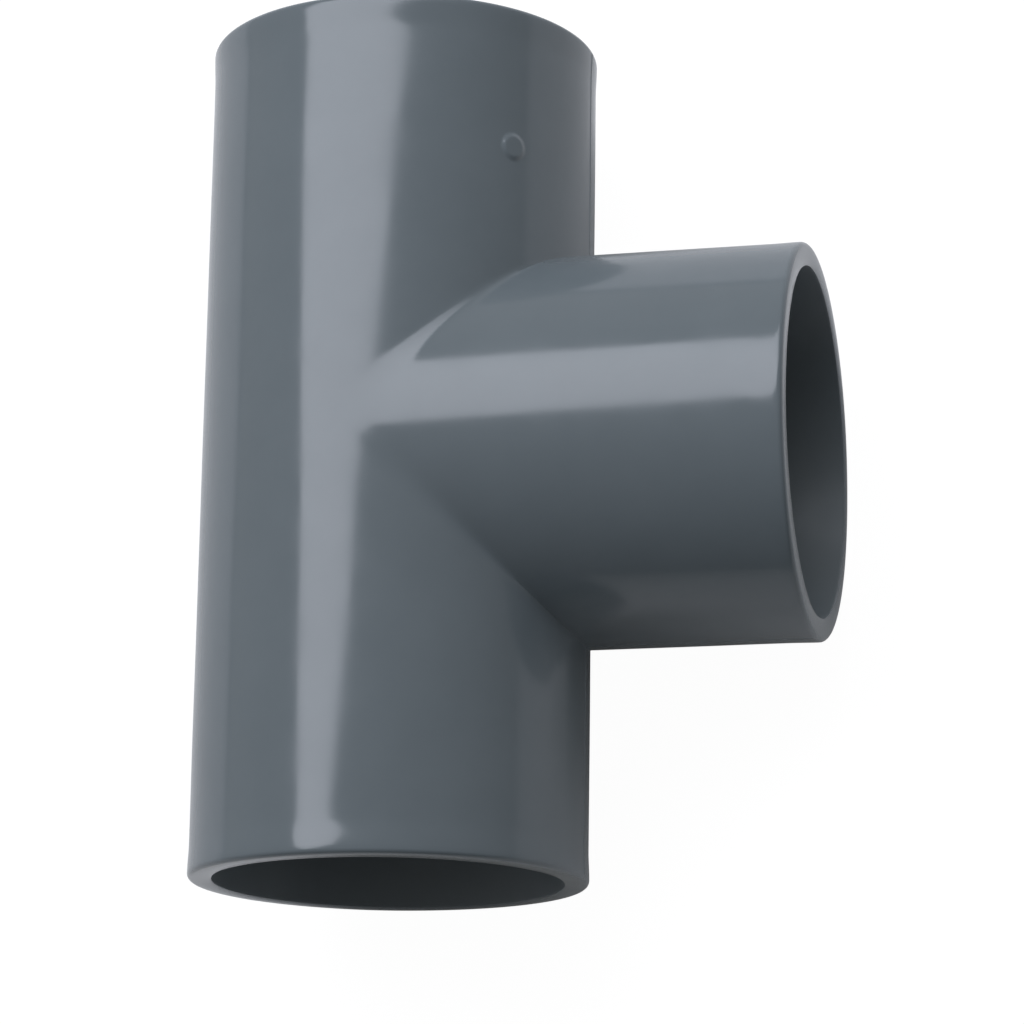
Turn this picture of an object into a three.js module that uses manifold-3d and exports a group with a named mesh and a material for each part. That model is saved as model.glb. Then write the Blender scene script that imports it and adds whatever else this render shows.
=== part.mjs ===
// A plain equal tee for solvent-cemented PVC pressure pipe of 32 mm outside diameter.
//
// The whole fitting is one injection moulding: a straight run with a socket at each end and a
// branch of the same size square to it. The outside is one plain diameter all the way to the
// mouths, with no hubs, ribs or ring grooves. Inside, each socket ends on a shoulder that stops
// the pipe, and the three waterways meet in the middle.
//
// Lengths are in millimetres. The tee lies flat, as it does on a table: the run is along Y, the
// branch points along +X, +Z is up, and the origin is the point where the two axes cross.

import * as THREE from "three";
import Module from "manifold-3d";
import { mergeVertices } from "three/addons/utils/BufferGeometryUtils.js";

const wasm = await Module();
wasm.setup();

// ---- Driving dimensions ----------------------------------------------------------------------

const pipeDiameter = 32; // outside diameter of the pipe that the sockets take
const mouthClearance = 0.3; // how much wider than the pipe a socket is at its mouth
const socketWall = 2.4; // wall thickness at a mouth
const socketDepth = 22.5; // from a mouth to the pipe stop: half the pipe's diameter plus 6.5
const centreToMouth = 40; // from the crossing of the axes to each mouth
const waterwayDiameter = 28; // bore past the pipe stops, close to the pipe's own bore
const entryChamfer = 0.3; // bevel inside a mouth that leads the pipe in
const outerEdgeRadius = 0.5; // rounding on the outside edge of a mouth

const roundSegments = 72; // facets around every round surface
const edgeSegments = 3; // facets across the rounded outside edge
const cutterOverrun = 2; // how far a bore cutter stands out past a mouth

const mouthRadius = (pipeDiameter + mouthClearance) / 2;
const rootRadius = pipeDiameter / 2; // the socket tapers to the pipe's own size at its root
const outsideRadius = mouthRadius + socketWall;
const waterwayRadius = waterwayDiameter / 2;
const centreToStop = centreToMouth - socketDepth;

// ---- Solids ------------------------------------------------------------------------------------

// Turns a closed three.js geometry into a solid that can be joined and cut.
function solidFrom(geometry) {
  const bare = geometry.clone();
  bare.deleteAttribute("normal");
  bare.deleteAttribute("uv");
  const welded = mergeVertices(bare, 1e-5);
  const vertProperties = new Float32Array(welded.getAttribute("position").array);
  const triVerts = new Uint32Array(welded.getIndex().array);
  return new wasm.Manifold(new wasm.Mesh({ numProp: 3, vertProperties, triVerts }));
}

// Turns a finished solid back into a three.js geometry.
function geometryFrom(solid) {
  const mesh = solid.getMesh();
  const geometry = new THREE.BufferGeometry();
  geometry.setAttribute("position", new THREE.BufferAttribute(new Float32Array(mesh.vertProperties), 3));
  geometry.setIndex(new THREE.BufferAttribute(new Uint32Array(mesh.triVerts), 1));
  geometry.computeVertexNormals();
  return geometry;
}

// A profile of [radius, height] points that starts and ends on the axis, turned about Y.
function turned(profile) {
  const points = profile.map(([radius, height]) => new THREE.Vector2(radius, height));
  return new THREE.LatheGeometry(points, roundSegments);
}

// Lays a shape that was turned about Y along +X, where the branch is.
function alongBranch(geometry) {
  return geometry.rotateZ(-Math.PI / 2);
}

// ---- Outside -----------------------------------------------------------------------------------

// The rounded outside edge of the mouth at +centreToMouth, from the barrel round to the rim.
function mouthEdge() {
  const edge = [];
  for (let step = 0; step <= edgeSegments; step += 1) {
    const angle = ((step / edgeSegments) * Math.PI) / 2;
    const radius = outsideRadius - outerEdgeRadius * (1 - Math.cos(angle));
    const height = centreToMouth - outerEdgeRadius * (1 - Math.sin(angle));
    edge.push([radius, height]);
  }
  return edge;
}

// The straight run, solid, from one mouth to the other.
function runBarrel() {
  const upper = mouthEdge();
  const lower = upper.map(([radius, height]) => [radius, -height]).reverse();
  return turned([[0, -centreToMouth], ...lower, ...upper, [0, centreToMouth]]);
}

// The branch, solid, from the middle of the run to its own mouth.
function branchBarrel() {
  return alongBranch(turned([[0, 0], [outsideRadius, 0], ...mouthEdge(), [0, centreToMouth]]));
}

// ---- Inside ------------------------------------------------------------------------------------

// Half of a bore: the waterway from the middle, the pipe stop, the tapered socket, the entry
// chamfer, and an overrun that clears the mouth.
function halfBore() {
  return [
    [waterwayRadius, centreToStop],
    [rootRadius, centreToStop],
    [mouthRadius, centreToMouth - entryChamfer],
    [mouthRadius + entryChamfer, centreToMouth],
    [mouthRadius + entryChamfer, centreToMouth + cutterOverrun],
    [0, centreToMouth + cutterOverrun],
  ];
}

// What is cut out of the run: both sockets and the waterway between them.
function runBore() {
  const upper = halfBore();
  const lower = upper.map(([radius, height]) => [radius, -height]).reverse();
  return turned([...lower, ...upper]);
}

// What is cut out of the branch: its socket, and its waterway as far as the run's axis.
function branchBore() {
  return alongBranch(turned([[0, 0], [waterwayRadius, 0], ...halfBore()]));
}

// ---- The tee -----------------------------------------------------------------------------------

function teeBody() {
  const outside = solidFrom(runBarrel()).add(solidFrom(branchBarrel()));
  const inside = solidFrom(runBore()).add(solidFrom(branchBore()));
  return geometryFrom(outside.subtract(inside));
}

const mouldedPvc = new THREE.MeshStandardMaterial({ color: 0x6c747b, roughness: 0.34, metalness: 0 });

const tee = new THREE.Group();
const body = new THREE.Mesh(teeBody(), mouldedPvc);
body.name = "tee_body";
tee.add(body);

export default tee;
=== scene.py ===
import math

import bmesh
import bpy
from mathutils import Matrix, Vector, noise


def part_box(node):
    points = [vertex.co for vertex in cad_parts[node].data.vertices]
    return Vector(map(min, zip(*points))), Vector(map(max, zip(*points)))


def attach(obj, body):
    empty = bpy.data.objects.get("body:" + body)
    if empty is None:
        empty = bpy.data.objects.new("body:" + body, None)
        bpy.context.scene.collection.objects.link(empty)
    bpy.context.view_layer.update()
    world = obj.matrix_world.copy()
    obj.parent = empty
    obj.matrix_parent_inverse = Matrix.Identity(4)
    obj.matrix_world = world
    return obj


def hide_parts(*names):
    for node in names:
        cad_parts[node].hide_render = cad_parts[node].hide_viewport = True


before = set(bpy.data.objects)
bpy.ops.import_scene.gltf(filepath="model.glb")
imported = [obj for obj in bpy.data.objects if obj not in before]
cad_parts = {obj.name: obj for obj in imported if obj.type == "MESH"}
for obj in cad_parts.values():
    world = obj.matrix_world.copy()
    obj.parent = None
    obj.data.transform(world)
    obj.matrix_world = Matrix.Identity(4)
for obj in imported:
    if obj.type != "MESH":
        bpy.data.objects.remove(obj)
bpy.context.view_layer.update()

# ---- The moulded tee -----------------------------------------------------------------------------
# One injection moulding in rigid PVC, grey all the way through. A straight run and a branch of the
# same diameter meet in the middle, and each of the three ends is a plain socket for a cemented pipe.
# It is drawn as three arms, each turned about its axis and mitred where it meets the next.

mm = 0.001
skin = 0.005 * mm  # how far the surface keeps inside the solid that it stands for
weld_distance = 0.001 * mm
cut_tolerance = 0.0001 * mm

body_low, body_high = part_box("tee_body")
mouth_radius = body_high.z - skin
run_length = body_high.y - skin
branch_length = body_high.x - skin

crown_height = 0.15 * mm  # how far the wall stands proud where the three arms meet
crown_spread = 8.0 * mm
barrel_radius = mouth_radius - crown_height
run_flare = 0.09 * mm  # the run spreads by this much towards its mouths
branch_flare = 0.04 * mm
flare_length = 2.8 * mm
outer_edge_radius = 0.5 * mm
socket_mouth_radius = 16.15 * mm
socket_root_radius = 16.0 * mm
waterway_radius = 14.0 * mm
centre_to_stop = 17.5 * mm
entry_bevel = 0.3 * mm
stop_edge_radius = 0.25 * mm
socket_root_fillet = 0.4 * mm

columns = 240  # faces once round an arm
quarter = columns // 4
plain_rings = 22  # faces along an arm between its mitre and its flare
flare_rings = 8


def eased(part):
    """Goes from 0 to 1 with part, with a soft start and a soft end."""
    return part * part * (3 - 2 * part)


def barrel_profile(length, flare):
    """The outside of an arm as [radius, height]; its first rings cross the mitre at the columns."""
    flare_start = length - outer_edge_radius - flare_length
    heights = [barrel_radius * math.sin(math.pi / 2 * k / quarter) for k in range(quarter)]
    for k in range(plain_rings + 1):
        heights.append(barrel_radius + (flare_start - barrel_radius) * k / plain_rings)
    profile = [(barrel_radius, height) for height in heights]
    for k in range(1, flare_rings + 1):
        part = k / flare_rings
        profile.append((barrel_radius + flare * eased(part), flare_start + flare_length * part))
    profile.append((barrel_radius + flare, length))
    return profile


def round_ring(bm, radius, height, size, segments):
    """Rounds the edge that goes once round an arm at this radius and height."""
    def on_ring(vert):
        reach = math.hypot(vert.co.x, vert.co.z)
        return abs(vert.co.y - height) < skin and abs(reach - radius) < skin

    ring = [edge for edge in bm.edges if all(on_ring(vert) for vert in edge.verts)]
    bmesh.ops.bevel(
        bm, geom=ring, offset=size, affect="EDGES", segments=segments, profile=0.5, material=-1,
    )


def turned_arm(length, flare):
    """One arm along +Y, from the crossing of the axes to its mouth, outside and inside."""
    bm = bmesh.new()
    profile = barrel_profile(length, flare)
    profile += [
        (socket_mouth_radius, length),
        (socket_root_radius, centre_to_stop),
        (waterway_radius, centre_to_stop),
        (waterway_radius, 0.0),
    ]
    verts = [bm.verts.new((radius, height, 0.0)) for radius, height in profile]
    for first, second in zip(verts, verts[1:]):
        bm.edges.new((first, second))
    bmesh.ops.spin(
        bm, geom=bm.verts[:] + bm.edges[:], cent=(0, 0, 0), axis=(0, 1, 0),
        angle=math.tau, steps=columns, use_merge=True,
    )
    round_ring(bm, barrel_radius + flare, length, outer_edge_radius, segments=6)
    round_ring(bm, socket_mouth_radius, length, entry_bevel, segments=2)
    round_ring(bm, waterway_radius, centre_to_stop, stop_edge_radius, segments=3)
    round_ring(bm, socket_root_radius, centre_to_stop, socket_root_fillet, segments=3)
    return bm


def mitre(bm, normal):
    """Cuts an arm off along a plane through the crossing of the axes."""
    bmesh.ops.bisect_plane(
        bm, geom=bm.verts[:] + bm.edges[:] + bm.faces[:], dist=cut_tolerance,
        plane_co=(0, 0, 0), plane_no=normal, clear_outer=True,
    )


high_arm = turned_arm(run_length, run_flare)
mitre(high_arm, (1, -1, 0))

low_arm = high_arm.copy()
bmesh.ops.scale(low_arm, vec=(1, -1, 1), verts=low_arm.verts)

branch_arm = turned_arm(branch_length, branch_flare)
quarter_turn = Matrix.Rotation(-math.pi / 2, 3, "Z")
bmesh.ops.rotate(branch_arm, cent=(0, 0, 0), matrix=quarter_turn, verts=branch_arm.verts)
mitre(branch_arm, (-1, 1, 0))
mitre(branch_arm, (-1, -1, 0))

tee_mesh = bpy.data.meshes.new("moulded_tee")
tee = bmesh.new()
for arm in (high_arm, low_arm, branch_arm):
    arm.to_mesh(tee_mesh)
    tee.from_mesh(tee_mesh)
    arm.free()
bmesh.ops.remove_doubles(tee, verts=tee.verts, dist=weld_distance)
bmesh.ops.recalc_face_normals(tee, faces=tee.faces)

# The mould blends the corner between the run and the branch: not at the sides, and most on top.
top_blend = 2.4 * mm
blend_start = math.radians(26)  # up the side of the barrel, from half height
blend_growth = 1.2  # how the blend widens from there to the top: 1 is evenly, more is later
blend_passes = 4  # each brings a point closer to the blended surface


def blend_width(height):
    """How much nearer to one arm than to the other a point may be and still be blended.

    The height is a share of the barrel's radius. Towards the top the two arms lie almost level
    with each other, and the square root keeps the blend from spreading too far there.
    """
    rise = (math.asin(height) - blend_start) / (math.pi / 2 - blend_start)
    return top_blend * max(rise, 0.0) ** blend_growth * math.sqrt(1 - height * height)


def blend_corner(vert, radius):
    """Moves a point of the corner on to the smooth union of the two cylinders."""
    width = blend_width(min(abs(vert.co.z) / radius, 1.0))
    for _ in range(blend_passes):
        from_run = Vector((vert.co.x, 0, vert.co.z))
        from_branch = Vector((0, vert.co.y, vert.co.z))
        run_gap = from_run.length - radius
        branch_gap = from_branch.length - radius
        if abs(run_gap - branch_gap) >= width:
            return
        share = 0.5 + 0.5 * (branch_gap - run_gap) / width
        gap = share * run_gap + (1 - share) * branch_gap - width * share * (1 - share)
        slope = share * from_run.normalized() + (1 - share) * from_branch.normalized()
        vert.co -= slope * (gap / slope.length_squared)


for vert in tee.verts:
    for radius in (barrel_radius, waterway_radius):
        reach = min(math.hypot(vert.co.x, vert.co.z), math.hypot(vert.co.y, vert.co.z))
        if vert.co.x > 0 and abs(reach - radius) < skin:
            blend_corner(vert, radius)

# The gate that filled the mould leaves a low round nub on the shoulder of the run.
gate_angle = math.radians(49)  # from straight up, towards the branch
gate_height = 26.3 * mm
nub_radius = 1.15 * mm
nub_rise = 0.18 * mm
nub_edge = 0.6 * mm  # how wide its sloping edge is
nub_patch = 2.2 * mm  # faces this near to the gate are made finer
nub_patch_cuts = 7
nub_surround = 3.0 * mm  # points this near are set back on the round barrel, or on the nub
gate_centre = Vector((
    barrel_radius * math.sin(gate_angle), gate_height, barrel_radius * math.cos(gate_angle),
))

patch = [face for face in tee.faces if (face.calc_center_median() - gate_centre).length < nub_patch]
patch_edges = list({edge for face in patch for edge in face.edges})
bmesh.ops.subdivide_edges(tee, edges=patch_edges, cuts=nub_patch_cuts, use_grid_fill=True)
for vert in tee.verts:
    from_gate = (vert.co - gate_centre).length
    if from_gate < nub_surround:
        outward = Vector((vert.co.x, 0, vert.co.z)).normalized()
        part = min(max((nub_radius - from_gate) / nub_edge + 0.5, 0.0), 1.0)
        reach = barrel_radius + nub_rise * eased(part)
        vert.co = Vector((outward.x * reach, vert.co.y, outward.z * reach))

# The two halves of the mould part at half height and leave a fine line there, all round the outside.
parting_width = 0.1 * mm
parting_rise = 0.05 * mm
outside_only = barrel_radius - 0.1 * mm  # nothing but the outside reaches this far at half height
for side in (-1, 1):
    bmesh.ops.bisect_plane(
        tee, geom=tee.verts[:] + tee.edges[:] + tee.faces[:], dist=cut_tolerance,
        plane_co=(0, 0, side * parting_width), plane_no=(0, 0, 1),
    )
tee.normal_update()
for vert in tee.verts:
    reach = abs(vert.co.x) if vert.co.x < 0 else min(vert.co.x, abs(vert.co.y))
    short_of_rims = max(vert.co.x, abs(vert.co.y)) < run_length - outer_edge_radius
    if abs(vert.co.z) < cut_tolerance and reach > outside_only and short_of_rims:
        outward = Vector((vert.normal.x, vert.normal.y, 0)).normalized()
        vert.co += outward * min(parting_rise, mouth_radius - min(reach, mouth_radius))

# The wall swells gently over the crossing, and everywhere it shrinks a little unevenly as it cools,
# so the barrel is nowhere perfectly round.
shrink_depth = 0.05 * mm
shrink_length = 11.0 * mm
shrink_pattern = Vector((3.1, 0.4, 7.7))  # where in the endless pattern the tee lies
inside_the_wall = socket_mouth_radius + 1.5 * mm  # only the outside lies further from an axis
for vert in tee.verts:
    run_reach = math.hypot(vert.co.x, vert.co.z)
    branch_reach = math.hypot(vert.co.y, vert.co.z)
    reach = run_reach if vert.co.x < abs(vert.co.y) else branch_reach
    if reach > inside_the_wall:
        share = 0.5 + 0.5 * noise.noise(vert.co / shrink_length + shrink_pattern)
        from_crossing = math.hypot(vert.co.x, vert.co.y) / crown_spread
        crown = crown_height * math.exp(-0.5 * from_crossing * from_crossing)
        vert.co += vert.normal * (crown - shrink_depth * share)

# The steel of the mould is polished outside, and blasted on the cores that make the sockets.
core_reach = socket_mouth_radius + 0.1 * mm  # the cores made what lies nearer to an axis
for face in tee.faces:
    centre = face.calc_center_median()
    from_run_axis = math.hypot(centre.x, centre.z)
    from_branch_axis = math.hypot(centre.y, centre.z) if centre.x > 0 else from_run_axis
    face.material_index = int(min(from_run_axis, from_branch_axis) < core_reach)

sharp_angle = math.radians(32)
tee.to_mesh(tee_mesh)
tee.free()
tee_mesh.shade_smooth()
tee_mesh.set_sharp_from_angle(angle=sharp_angle)
moulded_tee = bpy.data.objects.new("moulded_tee", tee_mesh)
bpy.context.scene.collection.objects.link(moulded_tee)
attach(moulded_tee, "root")
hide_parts("tee_body")


def linear(hex_colour):
    """An sRGB hex colour as the linear RGBA that nodes take."""
    channels = [int(hex_colour[i:i + 2], 16) / 255 for i in (1, 3, 5)]
    return [c / 12.92 if c <= 0.04045 else ((c + 0.055) / 1.055) ** 2.4 for c in channels] + [1.0]


def add_node(tree, kind, inputs=None, **settings):
    """Adds a node with its settings; each input is a value or the socket that feeds it."""
    node = tree.nodes.new(kind)
    for name, value in settings.items():
        setattr(node, name, value)
    for name, value in (inputs or {}).items():
        if isinstance(value, bpy.types.NodeSocket):
            tree.links.new(value, node.inputs[name])
        else:
            node.inputs[name].default_value = value
    return node


cloud_size = 8.0 * mm  # the melt cools in faint clouds about this wide
rub_size = 5.0 * mm  # patches that handling has dulled a little
upvc_ior = 1.53


def moulded_pvc(name, dark, light, roughness, roughness_swing, grain, grain_depth):
    """Rigid PVC: two close tones clouded together, and the grain that the steel gave the skin."""
    material = bpy.data.materials.new(name)
    material.use_nodes = True
    tree = material.node_tree
    tree.nodes.clear()
    place = add_node(tree, "ShaderNodeTexCoord").outputs["Object"]
    clouds = add_node(tree, "ShaderNodeTexNoise", {
        "Vector": place, "Scale": 1 / cloud_size, "Detail": 4.0, "Roughness": 0.6,
    })
    tones = add_node(tree, "ShaderNodeMix", {
        "Factor": clouds.outputs["Fac"], "A": linear(dark), "B": linear(light),
    }, data_type="RGBA")
    rubbed = add_node(tree, "ShaderNodeTexNoise", {
        "Vector": place, "Scale": 1 / rub_size, "Detail": 3.0, "Roughness": 0.5,
    })
    sheen = add_node(tree, "ShaderNodeMapRange", {
        "Value": rubbed.outputs["Fac"], "From Min": 0.3, "From Max": 0.7,
        "To Min": roughness - roughness_swing, "To Max": roughness + roughness_swing,
    })
    skin_grain = add_node(tree, "ShaderNodeTexNoise", {
        "Vector": place, "Scale": 1 / grain, "Detail": 2.0, "Roughness": 0.5,
    })
    relief = add_node(tree, "ShaderNodeBump", {
        "Height": skin_grain.outputs["Fac"], "Distance": grain_depth, "Strength": 1.0,
    })
    shader = add_node(tree, "ShaderNodeBsdfPrincipled", {
        "Base Color": tones.outputs["Result"], "Roughness": sheen.outputs["Result"],
        "IOR": upvc_ior, "Normal": relief.outputs["Normal"],
    })
    add_node(tree, "ShaderNodeOutputMaterial", {"Surface": shader.outputs["BSDF"]})
    return material


# Moulded uPVC off polished steel: an even blue-grey with a clear gloss and a faint orange peel.
tee_mesh.materials.append(moulded_pvc(
    "polished_moulded_upvc", "#5C656A", "#646D72",
    roughness=0.14, roughness_swing=0.03, grain=0.9 * mm, grain_depth=0.0018 * mm,
))
# Moulded uPVC off a blasted core: nearly the same grey, but dull, so that the cement can grip.
tee_mesh.materials.append(moulded_pvc(
    "core_moulded_upvc", "#586166", "#60696D",
    roughness=0.5, roughness_swing=0.04, grain=0.35 * mm, grain_depth=0.006 * mm,
))

# ---- The floor -----------------------------------------------------------------------------------
# A sheet of white paper. The camera exposes it to white, as a product picture does, while the tee
# gets only the light that the paper really gives back.

floor_reach = 3.0
exposed_white = 1.08
exposed_share = 0.9

floor_mesh = bpy.data.meshes.new("floor")
floor_bm = bmesh.new()
bmesh.ops.create_grid(floor_bm, x_segments=1, y_segments=1, size=floor_reach)
bmesh.ops.translate(floor_bm, vec=(0, 0, body_low.z), verts=floor_bm.verts)
floor_bm.to_mesh(floor_mesh)
floor_bm.free()
floor = bpy.data.objects.new("floor", floor_mesh)
bpy.context.scene.collection.objects.link(floor)

paper = bpy.data.materials.new("white_paper")
paper.use_nodes = True
paper_tree = paper.node_tree
paper_tree.nodes.clear()
bounce = add_node(paper_tree, "ShaderNodeBsdfDiffuse", {"Color": linear("#E6E6E6")})
exposed = add_node(paper_tree, "ShaderNodeEmission", {"Strength": exposed_white})
seen = add_node(paper_tree, "ShaderNodeMath", {
    0: add_node(paper_tree, "ShaderNodeLightPath").outputs["Is Camera Ray"], 1: exposed_share,
}, operation="MULTIPLY")
sheet = add_node(paper_tree, "ShaderNodeMixShader", {
    "Fac": seen.outputs["Value"], 1: bounce.outputs["BSDF"], 2: exposed.outputs["Emission"],
})
add_node(paper_tree, "ShaderNodeOutputMaterial", {"Surface": sheet.outputs["Shader"]})
floor_mesh.materials.append(paper)

# ---- Lights --------------------------------------------------------------------------------------
# One softbox hangs over the tee, behind it, turned to run from back right to front left, and it
# fades towards its back right end. The room is pale behind the tee and dark in front of it.

softbox_radiance = 4.1
softbox_place = (-0.0003, 0.3354, 0.45)
softbox_turn = math.radians(32)

softbox = bpy.data.lights.new("softbox", "AREA")
softbox.shape = "RECTANGLE"
softbox.size = 0.875
softbox.size_y = 0.357
softbox.color = linear("#F1F4FE")[:3]
softbox.energy = softbox_radiance * math.pi * softbox.size * softbox.size_y
softbox.use_nodes = True
diffuser = softbox.node_tree
diffuser.nodes.clear()
along = add_node(diffuser, "ShaderNodeSeparateXYZ", {
    "Vector": add_node(diffuser, "ShaderNodeNewGeometry").outputs["Parametric"],
})
fade = add_node(diffuser, "ShaderNodeMapRange", {
    "Value": along.outputs["X"], "From Min": 0.46, "From Max": 1.0, "To Min": 1.0, "To Max": 0.05,
})
lit = add_node(diffuser, "ShaderNodeEmission", {"Strength": fade.outputs["Result"]})
add_node(diffuser, "ShaderNodeOutputLight", {"Surface": lit.outputs["Emission"]})
softbox_lamp = bpy.data.objects.new("softbox", softbox)
softbox_lamp.location = softbox_place
softbox_lamp.rotation_euler = (0, 0, softbox_turn)
bpy.context.scene.collection.objects.link(softbox_lamp)

dark_wall = 0.04
pale_wall = 0.76
towards_pale_wall = Vector((-0.33, 0.94, 0.08)).normalized()

room = bpy.data.worlds.new("room")
room.use_nodes = True
room_tree = room.node_tree
room_tree.nodes.clear()
facing = add_node(room_tree, "ShaderNodeVectorMath", {
    0: add_node(room_tree, "ShaderNodeTexCoord").outputs["Generated"], 1: towards_pale_wall,
}, operation="DOT_PRODUCT")
glow = add_node(room_tree, "ShaderNodeMapRange", {
    "Value": facing.outputs["Value"], "From Min": -1.0, "From Max": 1.0,
    "To Min": dark_wall, "To Max": pale_wall,
})
walls = add_node(room_tree, "ShaderNodeBackground", {"Strength": glow.outputs["Result"]})
add_node(room_tree, "ShaderNodeOutputWorld", {"Surface": walls.outputs["Background"]})
bpy.context.scene.world = room

# ---- Camera --------------------------------------------------------------------------------------
# It looks down on the tee from above, leaning towards the branch and towards the near mouth of the
# run, so that both of those mouths show. The run stands upright in the picture.

camera_distance = 357.7 * mm
camera_lens = 133.25
camera_roll = math.radians(0.85)
lean_to_branch = math.radians(14.19)
lean_to_mouth = math.radians(13.84)
aim_right = 10.8 * mm
aim_up = -4.66 * mm

back = Vector((
    math.sin(lean_to_branch) * math.cos(lean_to_mouth),
    -math.sin(lean_to_mouth),
    math.cos(lean_to_branch) * math.cos(lean_to_mouth),
))
right = Vector((math.cos(lean_to_branch), 0, -math.sin(lean_to_branch)))
right.rotate(Matrix.Rotation(camera_roll, 3, back))
up = back.cross(right)
camera_data = bpy.data.cameras.new("camera")
camera_data.lens = camera_lens
camera = bpy.data.objects.new("camera", camera_data)
camera_place = right * aim_right + up * aim_up + back * camera_distance
camera_turn = Matrix((right, up, back)).transposed().to_4x4()
camera.matrix_world = Matrix.Translation(camera_place) @ camera_turn
bpy.context.scene.collection.objects.link(camera)
bpy.context.scene.camera = camera
bpy.context.scene.view_settings.view_transform = "Standard"
